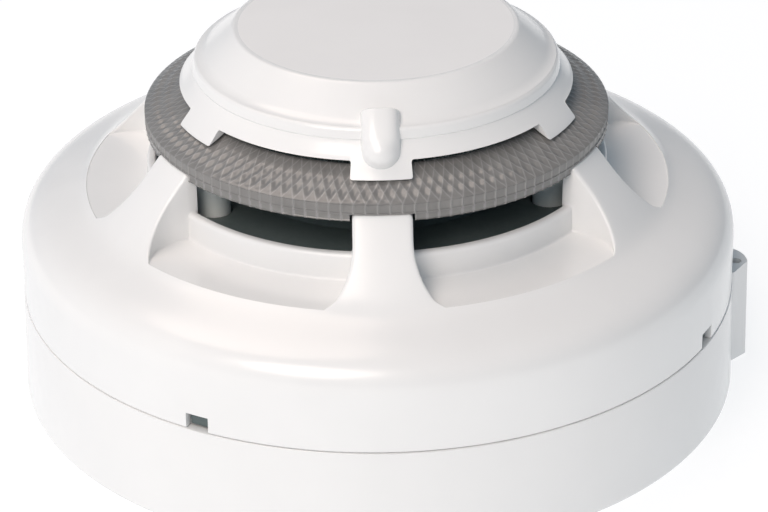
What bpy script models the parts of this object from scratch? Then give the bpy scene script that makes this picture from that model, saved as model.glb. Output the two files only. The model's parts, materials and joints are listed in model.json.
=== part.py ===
"""Ceiling heat detector with a ring indicator, on its twist-off mounting base.

The part stands on its mounting face, +Z up, with its origin at the middle of that face.
Azimuths run from -Y (the front rib) towards +X.  All sizes are in metres.
"""
import math

import bmesh
import bpy
from mathutils import Matrix, Vector

# ---------------------------------------------------------------- driving dimensions
GAP = 0.0003                     # clearance between parts that touch
ROUND_STEPS = 60                 # sides of the large turned parts
HIDDEN_STEPS = 36                # sides of the turned parts inside
SMALL_STEPS = 16                 # sides of screws, posts and holes
RIBS = 6
RIB_PITCH = 360 / RIBS

SEAM_Z = 0.0154                  # joint line between base and head
TOTAL_H = 0.0543
WALL = 0.0023                    # moulded wall of base and cover

BASE_R_RIM = 0.0521
BASE_R_FOOT = 0.05265
BASE_R_IN = 0.0496
BASE_FLOOR = 0.0020

SKIRT_R = 0.0519
SKIRT_TOP_Z = 0.0230
SHOULDER_R = 0.0421              # where the shoulder leaves the rib cone
SHOULDER_Z = 0.0310
SHOULDER_SLOPE = math.radians(25.4)
SHOULDER_PULL_IN = 0.0060
SHOULDER_PULL_UP = 0.0058

RING_R = 0.0332                  # outer radius of the indicator ring
RIB_TOP_Z = 0.04075
RIB_HALF_W = 0.00405
RIB_FLARE_START = 0.0350
RIB_FLARE_R = 0.0070

VENT_R_IN = 0.03175              # inner face of the wall below the vents
VENT_LIP_Z = 0.0348
POCKET_FOOT_R = 0.0332           # outer face of that wall
POCKET_FOOT_Z = 0.0309

RING_LOW_Z = 0.0397
RING_EDGE_Z = 0.0426
RING_IN_R = 0.0265
RING_IN_Z = 0.0453
RING_WEB = 0.0016

CAP_TOP_R = 0.0202
CAP_GROOVE_R = 0.02495
CAP_GROOVE_Z = 0.0501
CAP_CREASE_R = 0.0261
CAP_CREASE_Z = 0.0484
CAP_SKIRT_R = 0.02805
CAP_SKIRT_Z = 0.0464
CAP_TAB_R = 0.02975
CAP_TAB_Z = 0.0443
CAP_TAB_HALF_W = 0.00415
CAP_WALL = 0.0015

SCREEN_R = 0.0200
SCREEN_WALL = 0.0008
DECK_TOP_Z = 0.0325
BOARD_Z = 0.0230
BOARD_T = 0.0016
BOARD_R = 0.0420
BACK_Z = 0.0160
BACK_T = 0.0020
BACK_RIM_TOP = 0.0190
BACK_R = 0.0493

TWIST_DEG = 20.0                 # turn that frees the head from the base
CATCH_TRAVEL = 0.0015            # how far the catch is pressed down by that turn
CATCH_AZ = 90.0
BAYONET_AZ = (30.0, 150.0, 270.0)
TERMINAL_AZ = (45.0, 135.0, 225.0, 315.0)
TERMINAL_R = 0.0330
HEAD_SCREW_AZ = (60.0, 180.0, 300.0)
HEAD_SCREW_R = 0.0380
PIPE_AZ = (-58.5, 61.5)
PIPE_POST_R = 0.0272
CAP_LEG_AZ = (0.0, 120.0, 240.0)
CAP_LEG_R = 0.0236
NOTCH_AZ = (-29.0, 61.0, 151.0, 241.0)
NOTCH_W = 0.0034
NOTCH_TONGUE_R = 0.0511          # the back plate's tongues stand in the notches

# ---------------------------------------------------------------- colours and finishes
WHITE_GLOSS = ("white_gloss", (0.86, 0.86, 0.85), 0.22, 0.0)
WHITE_BASE = ("white_base", (0.85, 0.85, 0.84), 0.28, 0.0)
SMOKE_CLEAR = ("smoke_clear", (0.36, 0.35, 0.34), 0.25, 0.0)
CLEAR_GUIDE = ("clear_guide", (0.72, 0.76, 0.74), 0.12, 0.0)
DARK_MESH = ("dark_mesh", (0.03, 0.05, 0.05), 0.55, 0.3)
BLACK_PLASTIC = ("black_plastic", (0.025, 0.028, 0.028), 0.5, 0.0)
GREEN_BOARD = ("green_board", (0.03, 0.16, 0.07), 0.4, 0.0)
CHIP_BLACK = ("chip_black", (0.02, 0.02, 0.02), 0.45, 0.0)
ALUMINIUM_CAN = ("aluminium_can", (0.75, 0.75, 0.76), 0.3, 1.0)
LED_RED = ("led_red", (0.55, 0.05, 0.04), 0.2, 0.0)
BEAD_GLASS = ("bead_glass", (0.05, 0.04, 0.04), 0.2, 0.0)
TINNED_BRASS = ("tinned_brass", (0.78, 0.68, 0.42), 0.3, 1.0)
ZINC_STEEL = ("zinc_steel", (0.66, 0.67, 0.68), 0.35, 1.0)
SPRING_STEEL = ("spring_steel", (0.55, 0.56, 0.58), 0.3, 1.0)

for old in list(bpy.data.objects):
    bpy.data.objects.remove(old, do_unlink=True)

PARTS = bpy.data.collections.new("heat_detector")
CUTTERS = bpy.data.collections.new("cutters")
bpy.context.scene.collection.children.link(PARTS)
bpy.context.scene.collection.children.link(CUTTERS)


# ---------------------------------------------------------------- helpers
def material(finish):
    name, colour, rough, metal = finish
    mat = bpy.data.materials.get(name)
    if mat is None:
        mat = bpy.data.materials.new(name)
        mat.use_nodes = True
        shader = mat.node_tree.nodes["Principled BSDF"]
        shader.inputs["Base Color"].default_value = (*colour, 1.0)
        shader.inputs["Roughness"].default_value = rough
        shader.inputs["Metallic"].default_value = metal
        mat.diffuse_color = (*colour, 1.0)
    return mat


def at(azimuth, radius, z=0.0):
    """Point at an azimuth from the front, a radius and a height."""
    a = math.radians(azimuth)
    return Vector((radius * math.sin(a), -radius * math.cos(a), z))


def new_object(name, mesh, collection=CUTTERS):
    obj = bpy.data.objects.new(name, mesh)
    collection.objects.link(obj)
    return obj


def evaluated_mesh(obj):
    """The object's mesh with its modifiers applied, in world space."""
    bpy.context.view_layer.update()
    graph = bpy.context.evaluated_depsgraph_get()
    mesh = bpy.data.meshes.new_from_object(obj.evaluated_get(graph))
    mesh.transform(obj.matrix_world)
    return mesh


def settle(obj):
    """Apply an object's modifiers and its placing, and weld its seams."""
    mesh = evaluated_mesh(obj)
    work = bmesh.new()
    work.from_mesh(mesh)
    bmesh.ops.remove_doubles(work, verts=work.verts, dist=1e-7)
    work.to_mesh(mesh)
    work.free()
    settled = new_object(obj.name + "_solid", mesh)
    bpy.data.objects.remove(obj, do_unlink=True)
    return settled


def turned(name, profile, steps=ROUND_STEPS):
    """Turn a profile of (radius, height) points, outer side downwards, about Z."""
    closed = profile[0][0] > 0 and profile[-1][0] > 0
    work = bmesh.new()
    verts = [work.verts.new((r, 0, z)) for r, z in profile]
    for a, b in zip(verts, verts[1:]):
        work.edges.new((a, b))
    if closed:
        work.edges.new((verts[-1], verts[0]))
    mesh = bpy.data.meshes.new(name)
    work.to_mesh(mesh)
    work.free()
    obj = new_object(name, mesh)
    screw = obj.modifiers.new("turn", "SCREW")
    screw.axis = "Z"
    screw.steps = steps
    screw.render_steps = steps
    screw.use_merge_vertices = True
    screw.merge_threshold = 1e-6
    return settle(obj)


def box(name, size, centre, azimuth=0.0):
    """Box whose X is tangential and Y radial at the given azimuth."""
    work = bmesh.new()
    bmesh.ops.create_cube(work, size=1.0)
    bmesh.ops.scale(work, vec=size, verts=work.verts)
    bmesh.ops.translate(work, vec=centre, verts=work.verts)
    turn = Matrix.Rotation(math.radians(azimuth), 3, "Z")
    bmesh.ops.rotate(work, matrix=turn, verts=work.verts)
    mesh = bpy.data.meshes.new(name)
    work.to_mesh(mesh)
    work.free()
    return new_object(name, mesh)


def sector_box(name, azimuth, r_in, r_out, width, z_low, z_high, shift=0.0):
    """Box between two radii and two heights, centred on an azimuth."""
    size = (width, r_out - r_in, z_high - z_low)
    centre = (shift, -(r_in + r_out) / 2, (z_low + z_high) / 2)
    return box(name, size, centre, azimuth)


def cylinder(name, radius, z_low, z_high, xy=(0, 0), steps=SMALL_STEPS, top_radius=None):
    """Upright cylinder, or a cone when its top radius differs."""
    work = bmesh.new()
    top = radius if top_radius is None else top_radius
    bmesh.ops.create_cone(work, cap_ends=True, segments=steps, radius1=radius,
                          radius2=top, depth=z_high - z_low)
    bmesh.ops.translate(work, vec=(xy[0], xy[1], (z_low + z_high) / 2), verts=work.verts)
    mesh = bpy.data.meshes.new(name)
    work.to_mesh(mesh)
    work.free()
    return new_object(name, mesh)


def ball(name, radius, centre, segments=16):
    work = bmesh.new()
    bmesh.ops.create_uvsphere(work, u_segments=segments, v_segments=segments // 2, radius=radius)
    bmesh.ops.translate(work, vec=centre, verts=work.verts)
    mesh = bpy.data.meshes.new(name)
    work.to_mesh(mesh)
    work.free()
    return new_object(name, mesh)


def slab(name, outline, z_low, z_high):
    """Flat outline in the XY plane, raised between two heights."""
    curve = bpy.data.curves.new(name, "CURVE")
    curve.dimensions = "2D"
    curve.fill_mode = "BOTH"
    curve.extrude = (z_high - z_low) / 2
    spline = curve.splines.new("POLY")
    spline.points.add(len(outline) - 1)
    for point, (x, y) in zip(spline.points, outline):
        point.co = (x, y, 0, 1)
    spline.use_cyclic_u = True
    obj = new_object(name, curve)
    obj.location.z = (z_low + z_high) / 2
    return settle(obj)


def turn_about_z(obj, azimuth):
    obj.data.transform(Matrix.Rotation(math.radians(azimuth), 4, "Z"))
    return obj


def combine(obj, tool, operation):
    """Boolean a tool into an object and drop the tool."""
    tool.hide_render = True
    tool.display_type = "WIRE"
    step = obj.modifiers.new(operation.lower(), "BOOLEAN")
    step.operation = operation
    step.solver = "EXACT"
    step.object = tool
    mesh = evaluated_mesh(obj)
    obj.modifiers.clear()
    old = obj.data
    obj.data = mesh
    bpy.data.meshes.remove(old)
    bpy.data.objects.remove(tool, do_unlink=True)
    return obj


def cut(obj, *tools):
    for tool in tools:
        combine(obj, tool, "DIFFERENCE")
    return obj


def join(obj, *tools):
    for tool in tools:
        combine(obj, tool, "UNION")
    return obj


def finish_part(obj, name, finish, origin=(0, 0, 0), parent=None):
    """Name a finished solid, put its origin on its joint axis and shade it."""
    obj.name = name
    obj.data.name = name
    origin = Vector(origin)
    obj.data.transform(Matrix.Translation(-origin))
    obj.location = origin
    obj.data.materials.clear()
    obj.data.materials.append(material(finish))
    obj.data.shade_smooth()
    obj.data.set_sharp_from_angle(angle=math.radians(35))
    CUTTERS.objects.unlink(obj)
    PARTS.objects.link(obj)
    if parent is not None:
        obj.parent = parent
    return obj


def bezier(p0, p1, p2, p3, count):
    """Points on a cubic curve, both ends included."""
    points = []
    for i in range(count + 1):
        t = i / count
        s = 1 - t
        weights = (s ** 3, 3 * s * s * t, 3 * s * t * t, t ** 3)
        r = sum(w * p[0] for w, p in zip(weights, (p0, p1, p2, p3)))
        z = sum(w * p[1] for w, p in zip(weights, (p0, p1, p2, p3)))
        points.append((r, z))
    return points


# ---------------------------------------------------------------- joint axes
head_pivot = bpy.data.objects.new("head_pivot", None)
PARTS.objects.link(head_pivot)


# ---------------------------------------------------------------- mounting base
FLOOR_SLOT_X = 0.0270            # half the spacing of the two fixing slots
FLOOR_SLOT = (0.0100, 0.0045)
CABLE_ENTRY = (0.0220, 0.0120)
CABLE_ENTRY_Y = 0.0200
ISLAND_TOP = 0.0036
LEDGE_LOW_Z = 0.0084
LEDGE_TOP_Z = 0.0104
LEDGE_R_IN = 0.0460
LEDGE_W = 0.0150
BOSS_CORNER_X = 0.0547
BOSS_DRAFT = BASE_R_FOOT - BASE_R_RIM
BOSS_FOOT_SHIFT = (0.0003, -0.0005, 0.0)
RELEASE_HOLE = (0.0531, -0.0007)
RELEASE_HOLE_R = 0.0008
CATCH_R_IN = 0.0462
CATCH_R_OUT = 0.0486
CATCH_W = 0.0050
FINGER_W = 0.0014


def rounded_slot(name, length, width, z_low, z_high, x, y, along_x=True):
    """Slot with half-round ends, as a cutter."""
    half = (length - width) / 2
    points = []
    for side, start in ((1, -90), (-1, 90)):
        for i in range(7):
            a = math.radians(start + i * 30)
            px = side * half + width / 2 * math.cos(a)
            py = width / 2 * math.sin(a)
            points.append((px, py) if along_x else (py, -px))
    outline = [(x + px, y + py) for px, py in points]
    return slab(name, outline, z_low, z_high)


def boss_outline(draft):
    """Plan of the side boss: slanting near flank, sharp corner, rounded far flank."""
    root_y = -0.0044
    near_y = -0.0012
    corner_y = -0.0007
    far_y = 0.0034
    inner_x = 0.0500
    root_x = BASE_R_RIM + draft - 0.0002
    corner_x = BOSS_CORNER_X + draft
    near_x = corner_x - 0.0003
    points = [(inner_x, root_y), (root_x, root_y), (root_x + 0.0004, root_y + 0.0004)]
    points.append((near_x, near_y))
    points.append((corner_x, corner_y))
    for i in range(1, 4):
        a = math.radians(90 * i / 4)
        x = root_x + (corner_x - root_x) * math.cos(a)
        y = corner_y + (far_y - corner_y) * math.sin(a)
        points.append((x, y))
    points.append((root_x, far_y))
    points.append((inner_x, far_y))
    return points


def make_base():
    rim_z = SEAM_Z - GAP / 2
    profile = [(0, BASE_FLOOR), (BASE_R_IN, BASE_FLOOR), (BASE_R_IN, rim_z),
               (BASE_R_RIM, rim_z), (BASE_R_FOOT, 0.0), (0, 0.0)]
    base = turned("base", profile)
    boss = slab("boss", boss_outline(BOSS_DRAFT / 2), 0.0, rim_z)
    for vertex in boss.data.vertices:
        if vertex.co.z < 0.001 and vertex.co.x > 0.0525:
            vertex.co += Vector(BOSS_FOOT_SHIFT)
    join(base, boss)
    for azimuth in BAYONET_AZ:
        ledge = sector_box("ledge", azimuth, LEDGE_R_IN, 0.0505, LEDGE_W, LEDGE_LOW_Z, LEDGE_TOP_Z)
        stop = sector_box("stop", azimuth, LEDGE_R_IN + 0.0004, 0.0504, 0.0012, 0.0050,
                          LEDGE_TOP_Z - 0.0006, shift=-LEDGE_W / 2 - 0.0004)
        join(base, join(ledge, stop))
    for azimuth in TERMINAL_AZ:
        island = sector_box("island", azimuth, TERMINAL_R - 0.005, TERMINAL_R + 0.005, 0.010,
                            0.001, ISLAND_TOP)
        well = cylinder("well", 0.00195, 0.001, 0.006, at(azimuth, TERMINAL_R)[:2])
        join(base, island)
        cut(base, well)
    for side in (-1, 1):
        shift = side * (CATCH_W / 2 + GAP + 0.0007)
        rail = sector_box("rail", CATCH_AZ, CATCH_R_IN - 0.0004, 0.0505, 0.0014, 0.001, 0.0120,
                          shift=shift)
        join(base, rail)
        cut(base, rounded_slot("fixing", *FLOOR_SLOT, -0.001, 0.004, side * FLOOR_SLOT_X, 0))
    cut(base, rounded_slot("entry", *CABLE_ENTRY, -0.001, 0.004, 0, CABLE_ENTRY_Y))
    hole = cylinder("release_hole", RELEASE_HOLE_R, 0.0060, 0.0170, RELEASE_HOLE)
    slot = box("finger_slot", (0.0052, FINGER_W + 4 * GAP, 0.0062),
               (0.0511, RELEASE_HOLE[1], 0.0091))
    cut(base, slot, hole)
    return finish_part(base, "mounting_base", WHITE_BASE)


# ---------------------------------------------------------------- release catch
CATCH_BODY_Z = (0.0070, 0.0112)
CATCH_NOSE_TOP = 0.0172
CATCH_NOSE_W = 0.0030


def make_catch():
    body = sector_box("catch", CATCH_AZ, CATCH_R_IN, CATCH_R_OUT, CATCH_W, *CATCH_BODY_Z)
    nose = sector_box("nose", CATCH_AZ, CATCH_R_IN + 0.0002, CATCH_R_OUT - 0.0002, CATCH_NOSE_W,
                      0.0100, CATCH_NOSE_TOP)
    finger = box("finger", (0.0053, FINGER_W, 0.0016), (0.05065, RELEASE_HOLE[1], 0.0090))
    stem_xy = at(CATCH_AZ, (CATCH_R_IN + CATCH_R_OUT) / 2)[:2]
    stem = cylinder("stem", 0.0007, 0.0040, 0.0080, stem_xy, 12)
    join(body, nose, finger, stem)
    return finish_part(body, "release_catch", BLACK_PLASTIC,
                       at(CATCH_AZ, (CATCH_R_IN + CATCH_R_OUT) / 2, CATCH_BODY_Z[0]))


def make_catch_spring():
    turns = 4
    per_turn = 10
    coil_r = 0.00125
    wire_r = 0.00020
    z_low = BASE_FLOOR + GAP + wire_r
    z_high = CATCH_BODY_Z[0] - GAP - wire_r
    axis = at(CATCH_AZ, (CATCH_R_IN + CATCH_R_OUT) / 2)
    curve = bpy.data.curves.new("coil", "CURVE")
    curve.dimensions = "3D"
    curve.bevel_depth = wire_r
    curve.bevel_resolution = 2
    curve.use_fill_caps = True
    spline = curve.splines.new("POLY")
    count = turns * per_turn
    spline.points.add(count)
    for i, point in enumerate(spline.points):
        a = 2 * math.pi * i / per_turn
        z = z_low + (z_high - z_low) * i / count
        point.co = (axis.x + coil_r * math.cos(a), axis.y + coil_r * math.sin(a), z, 1)
    coil = settle(new_object("coil", curve))
    return finish_part(coil, "catch_spring", SPRING_STEEL)


# ---------------------------------------------------------------- terminals
STRIP_T = 0.0008
STRIP_W = 0.0056
STRIP_Z = ISLAND_TOP + GAP + STRIP_T / 2
LEAF_TOP_Z = 0.0093
CLAMP_Z = (0.0050, 0.0060)
CLAMP_SIDE = 0.0072
SCREW_HEAD_Z = (0.0063, 0.0080)
SCREW_LOW_Z = 0.0024
SCREW_R = 0.00165
SCREW_HEAD_R = 0.0030
LEAF_AT = 0.0096                 # sideways distance from screw to the leaf's crest


def strip_outline(path, thickness):
    """Outline of a bent strip of constant thickness along a path."""
    left = []
    right = []
    for i, (x, z) in enumerate(path):
        before = Vector(path[max(i - 1, 0)])
        after = Vector(path[min(i + 1, len(path) - 1)])
        along = (after - before).normalized()
        normal = Vector((-along.y, along.x)) * thickness / 2
        left.append((x + normal.x, z + normal.y))
        right.append((x - normal.x, z - normal.y))
    return left + right[::-1]


def make_terminal(index, azimuth):
    path = [(-0.0045, STRIP_Z), (0.0046, STRIP_Z), (0.0062, STRIP_Z + 0.0008),
            (0.0078, LEAF_TOP_Z - 0.0016), (0.0087, LEAF_TOP_Z - 0.0003), (LEAF_AT, LEAF_TOP_Z),
            (0.0105, LEAF_TOP_Z - 0.0003), (0.0115, LEAF_TOP_Z - 0.0018)]
    strip = slab("strip", strip_outline(path, STRIP_T), -STRIP_W / 2, STRIP_W / 2)
    # The outline lies in XY: stand it up, then carry it to the terminal's radius.
    strip.data.transform(Matrix.Rotation(math.radians(90), 4, "X"))
    strip.data.transform(Matrix.Translation((0, -TERMINAL_R, 0)))
    turn_about_z(strip, azimuth)
    spot = at(azimuth, TERMINAL_R)[:2]
    cut(strip, cylinder("hole", 0.00195, 0.0030, 0.0052, spot))
    finish_part(strip, f"terminal_contact_{index}", TINNED_BRASS)

    clamp = sector_box("clamp", azimuth, TERMINAL_R - CLAMP_SIDE / 2, TERMINAL_R + CLAMP_SIDE / 2,
                       CLAMP_SIDE, *CLAMP_Z)
    cut(clamp, cylinder("hole", 0.00195, 0.0045, 0.0065, spot))
    finish_part(clamp, f"clamp_plate_{index}", ZINC_STEEL, at(azimuth, TERMINAL_R, CLAMP_Z[0]))

    screw = cylinder("screw", SCREW_R, SCREW_LOW_Z, SCREW_HEAD_Z[0] + 0.0003, spot)
    head = cylinder("head", SCREW_HEAD_R, *SCREW_HEAD_Z, spot, 24, SCREW_HEAD_R * 0.86)
    join(screw, head)
    for slot_turn in (0, 90):
        slot = box("slot", (0.0044, 0.0008, 0.0012), (0, 0, SCREW_HEAD_Z[1]))
        turn_about_z(slot, azimuth + slot_turn)
        slot.data.transform(Matrix.Translation((*spot, 0)))
        cut(screw, slot)
    finish_part(screw, f"terminal_screw_{index}", ZINC_STEEL,
                at(azimuth, TERMINAL_R, SCREW_HEAD_Z[0]))


# ---------------------------------------------------------------- head back plate
SPIGOT_R_IN = 0.0430
SPIGOT_R_OUT = 0.0450
SPIGOT_LOW_Z = 0.0060
LUG_R_OUT = 0.0476
LUG_W = 0.0132
LUG_Z = (0.0060, 0.0080)
HEAD_CONTACT_TURN = math.degrees(LEAF_AT / TERMINAL_R)
HEAD_CONTACT_LOW_Z = 0.0100
CAM_DEPTH = 0.0016
CAM_CLEAR_DEG = 2.4


def cam_groove():
    """Ramped groove in the plate's underside that presses the catch down as the head turns."""
    start = CATCH_AZ + CAM_CLEAR_DEG
    end = CATCH_AZ - CAM_DEPTH / CATCH_TRAVEL * TWIST_DEG
    count = 12
    work = bmesh.new()
    rings = []
    for i in range(count + 1):
        azimuth = start + (end - start) * i / count
        fall = max(CATCH_AZ - azimuth, 0) * CATCH_TRAVEL / TWIST_DEG
        top = BACK_Z + CAM_DEPTH - fall
        section = [(CATCH_R_IN - 0.0004, BACK_Z - 0.001), (CATCH_R_OUT + 0.0004, BACK_Z - 0.001),
                   (CATCH_R_OUT + 0.0004, top), (CATCH_R_IN - 0.0004, top)]
        rings.append([work.verts.new(at(azimuth, r, z)) for r, z in section])
    for a, b in zip(rings, rings[1:]):
        for k in range(4):
            n = (k + 1) % 4
            work.faces.new((a[k], a[n], b[n], b[k]))
    work.faces.new(rings[0][::-1])
    work.faces.new(rings[-1])
    bmesh.ops.recalc_face_normals(work, faces=work.faces)
    mesh = bpy.data.meshes.new("cam")
    work.to_mesh(mesh)
    work.free()
    return new_object("cam", mesh)


def make_back_plate():
    profile = [(0, BACK_Z + BACK_T), (0.0455, BACK_Z + BACK_T), (0.0455, BACK_RIM_TOP),
               (BACK_R, BACK_RIM_TOP), (BACK_R, BACK_Z), (SPIGOT_R_OUT, BACK_Z),
               (SPIGOT_R_OUT, SPIGOT_LOW_Z), (SPIGOT_R_IN, SPIGOT_LOW_Z), (SPIGOT_R_IN, BACK_Z),
               (0, BACK_Z)]
    plate = turned("back_plate", profile, HIDDEN_STEPS)
    for azimuth in BAYONET_AZ:
        lug = sector_box("lug", azimuth, SPIGOT_R_IN + 0.001, LUG_R_OUT, LUG_W, *LUG_Z)
        join(plate, lug)
    for azimuth in NOTCH_AZ:
        tongue = sector_box("tongue", azimuth, 0.0480, NOTCH_TONGUE_R, NOTCH_W - 2 * GAP,
                            BACK_Z - 0.0002, SEAM_Z + 0.0024 - GAP)
        join(plate, tongue)
    for azimuth in HEAD_SCREW_AZ:
        spot = at(azimuth, HEAD_SCREW_R)[:2]
        post = cylinder("post", 0.0032, BACK_Z + 0.001, BOARD_Z - GAP, spot)
        hole = cylinder("hole", 0.0016, BACK_Z - 0.001, BOARD_Z + 0.001, spot)
        join(plate, post)
        cut(plate, hole)
    cut(plate, cam_groove())
    for azimuth in TERMINAL_AZ:
        slot = sector_box("slot", azimuth + HEAD_CONTACT_TURN, TERMINAL_R - 0.0009,
                          TERMINAL_R + 0.0009, 0.0038, BACK_Z - 0.001, BACK_Z + BACK_T + 0.001)
        cut(plate, slot)
    return finish_part(plate, "head_back_plate", BLACK_PLASTIC, parent=head_pivot)


def make_head_contact(index, azimuth):
    """Flat shoe that meets the base's leaf, with a blade up through the plate to the board."""
    turn = azimuth + HEAD_CONTACT_TURN
    shoe = sector_box("shoe", turn, TERMINAL_R - 0.0022, TERMINAL_R + 0.0022, 0.0070,
                      HEAD_CONTACT_LOW_Z, HEAD_CONTACT_LOW_Z + 0.0012)
    blade = sector_box("blade", turn, TERMINAL_R - 0.0005, TERMINAL_R + 0.0005, 0.0030,
                       HEAD_CONTACT_LOW_Z + 0.0006, BOARD_Z - GAP)
    join(shoe, blade)
    finish_part(shoe, f"head_contact_{index}", TINNED_BRASS, parent=head_pivot)


def make_head_screw(index, azimuth):
    spot = at(azimuth, HEAD_SCREW_R)[:2]
    screw = cylinder("screw", 0.0013, BACK_Z - GAP - 0.0003, 0.0280, spot)
    head = cylinder("head", 0.0026, 0.0137, BACK_Z - GAP, spot, 20)
    join(screw, head)
    for slot_turn in (0, 90):
        slot = box("slot", (0.0034, 0.0007, 0.0012), (0, 0, 0.0137))
        turn_about_z(slot, azimuth + slot_turn)
        slot.data.transform(Matrix.Translation((*spot, 0)))
        cut(screw, slot)
    finish_part(screw, f"head_screw_{index}", ZINC_STEEL, parent=head_pivot)


# ---------------------------------------------------------------- circuit board and its parts
def make_board():
    board = cylinder("board", BOARD_R, BOARD_Z, BOARD_Z + BOARD_T, steps=HIDDEN_STEPS)
    for azimuth in HEAD_SCREW_AZ:
        cut(board, cylinder("hole", 0.0016, 0.020, 0.027, at(azimuth, HEAD_SCREW_R)[:2]))
    finish_part(board, "circuit_board", GREEN_BOARD, parent=head_pivot)

    top = BOARD_Z + BOARD_T + GAP
    chip = box("chip", (0.009, 0.009, 0.0015), (-0.012, 0.010, top + 0.00075))
    finish_part(chip, "controller_chip", CHIP_BLACK, parent=head_pivot)
    can = cylinder("can", 0.0028, top, top + 0.0044, (0.012, 0.008), 24)
    finish_part(can, "storage_capacitor", ALUMINIUM_CAN, parent=head_pivot)
    bead = ball("bead", 0.0011, at(0, 0.0375, top + 0.0011))
    finish_part(bead, "reference_thermistor", BEAD_GLASS, parent=head_pivot)
    for index, azimuth in enumerate(PIPE_AZ, 1):
        led = sector_box("led", azimuth, PIPE_POST_R - 0.0011, PIPE_POST_R + 0.0011, 0.0022,
                         top, top + 0.0012)
        finish_part(led, f"status_led_{index}", LED_RED, parent=head_pivot)


# ---------------------------------------------------------------- sensor under the cap
PIPE_R = 0.0024
PIPE_Z = (0.0265, 0.0419)
HOLDER_TOP_Z = 0.0368
BEAD_Z = 0.0392


def make_sensing_thermistor():
    low = BOARD_Z + BOARD_T + GAP
    bead = ball("bead", 0.0012, (0, 0, BEAD_Z))
    for side in (-1, 1):
        lead = cylinder("lead", 0.00028, low, BEAD_Z, (side * 0.0006, 0), 10)
        join(bead, lead)
    finish_part(bead, "sensing_thermistor", BEAD_GLASS, parent=head_pivot)

    profile = [(0.0013, HOLDER_TOP_Z), (0.0022, HOLDER_TOP_Z), (0.0034, DECK_TOP_Z + GAP),
               (0.0013, DECK_TOP_Z + GAP)]
    holder = turned("holder", profile, 24)
    finish_part(holder, "thermistor_holder", BLACK_PLASTIC, parent=head_pivot)


def make_deck():
    """Inner floor of the vents, trapped between the cover and the board."""
    seat_r = SCREEN_R + GAP
    profile = [(0.0016, DECK_TOP_Z), (seat_r, DECK_TOP_Z), (seat_r, DECK_TOP_Z + 0.0012),
               (seat_r + 0.0012, DECK_TOP_Z + 0.0012), (seat_r + 0.0012, DECK_TOP_Z),
               (VENT_R_IN - GAP, DECK_TOP_Z), (VENT_R_IN - GAP, 0.0293), (0.0336, 0.0293),
               (0.0336, 0.0279), (0.0250, 0.0279), (0.0250, 0.0300), (0.0016, 0.0300)]
    deck = turned("deck", profile, HIDDEN_STEPS)
    for azimuth in PIPE_AZ:
        spot = at(azimuth, PIPE_POST_R)[:2]
        cut(deck, cylinder("hole", PIPE_R + GAP, 0.026, 0.034, spot))
    for azimuth in CAP_LEG_AZ:
        spot = at(azimuth, CAP_LEG_R)[:2]
        cut(deck, cylinder("hole", 0.0015 + GAP, 0.026, 0.034, spot))
    return finish_part(deck, "sensor_deck", BLACK_PLASTIC, parent=head_pivot)


def make_screen():
    top_z = 0.0480
    low_z = DECK_TOP_Z + GAP
    inner = SCREEN_R - SCREEN_WALL
    profile = [(inner, top_z), (SCREEN_R, top_z), (SCREEN_R, low_z), (inner, low_z)]
    screen = turned("screen", profile, HIDDEN_STEPS)
    return finish_part(screen, "insect_screen", DARK_MESH, parent=head_pivot)


def make_light_pipe(index, azimuth):
    spot = at(azimuth, PIPE_POST_R)[:2]
    pipe = cylinder("pipe", PIPE_R, *PIPE_Z, spot, 24)
    finish_part(pipe, f"light_pipe_{index}", CLEAR_GUIDE, parent=head_pivot)


# ---------------------------------------------------------------- outer cover
def cover_profile():
    pull = (SHOULDER_R + SHOULDER_PULL_IN * math.cos(SHOULDER_SLOPE),
            SHOULDER_Z - SHOULDER_PULL_IN * math.sin(SHOULDER_SLOPE))
    start = (SHOULDER_R, SHOULDER_Z)
    end = (SKIRT_R, SKIRT_TOP_Z)
    shoulder = bezier(start, pull, (SKIRT_R, SKIRT_TOP_Z + SHOULDER_PULL_UP), end, 7)
    inner_end = (SKIRT_R - WALL, SKIRT_TOP_Z - 0.0004)
    inner_start = (SHOULDER_R - 0.0006, SHOULDER_Z - WALL)
    inner_pull = (pull[0] - 0.0009, pull[1] - WALL)
    inner = bezier(inner_end, (inner_end[0], inner_end[1] + SHOULDER_PULL_UP - 0.0010), inner_pull,
                   inner_start, 3)
    low_z = SEAM_Z + GAP / 2
    outer = [(VENT_R_IN, RIB_TOP_Z), (RING_R, RIB_TOP_Z)] + shoulder
    skirt = [(SKIRT_R + 0.0001, low_z), (SKIRT_R - WALL + 0.0001, low_z)]
    return outer + skirt + inner + [(VENT_R_IN, SHOULDER_Z - 0.0014)]


def rib_outline():
    """Plan of one front rib: straight flanks that flare out in an arc at the foot."""
    flank = [(RIB_HALF_W, -0.0250)]
    for i in range(7):
        a = math.radians(90 * i / 6)
        x = RIB_HALF_W + RIB_FLARE_R * (1 - math.cos(a))
        y = -(RIB_FLARE_START + RIB_FLARE_R * math.sin(a))
        flank.append((x, y))
    flank.append((RIB_HALF_W + RIB_FLARE_R, -0.0500))
    return flank + [(-x, y) for x, y in reversed(flank)]


def pocket_cutter():
    """Ring that sinks the pockets and opens the vents, left out where the ribs stand."""
    profile = [(0.0280, 0.0460), (0.0470, 0.0460), (0.0470, 0.0312),
               (POCKET_FOOT_R, POCKET_FOOT_Z), (POCKET_FOOT_R, VENT_LIP_Z - 0.0005),
               (POCKET_FOOT_R - 0.0004, VENT_LIP_Z), (0.0280, VENT_LIP_Z)]
    ring = turned("pockets", profile)
    for i in range(RIBS):
        rib = slab("rib", rib_outline(), 0.0280, 0.0480)
        cut(ring, turn_about_z(rib, i * RIB_PITCH))
    return ring


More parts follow.
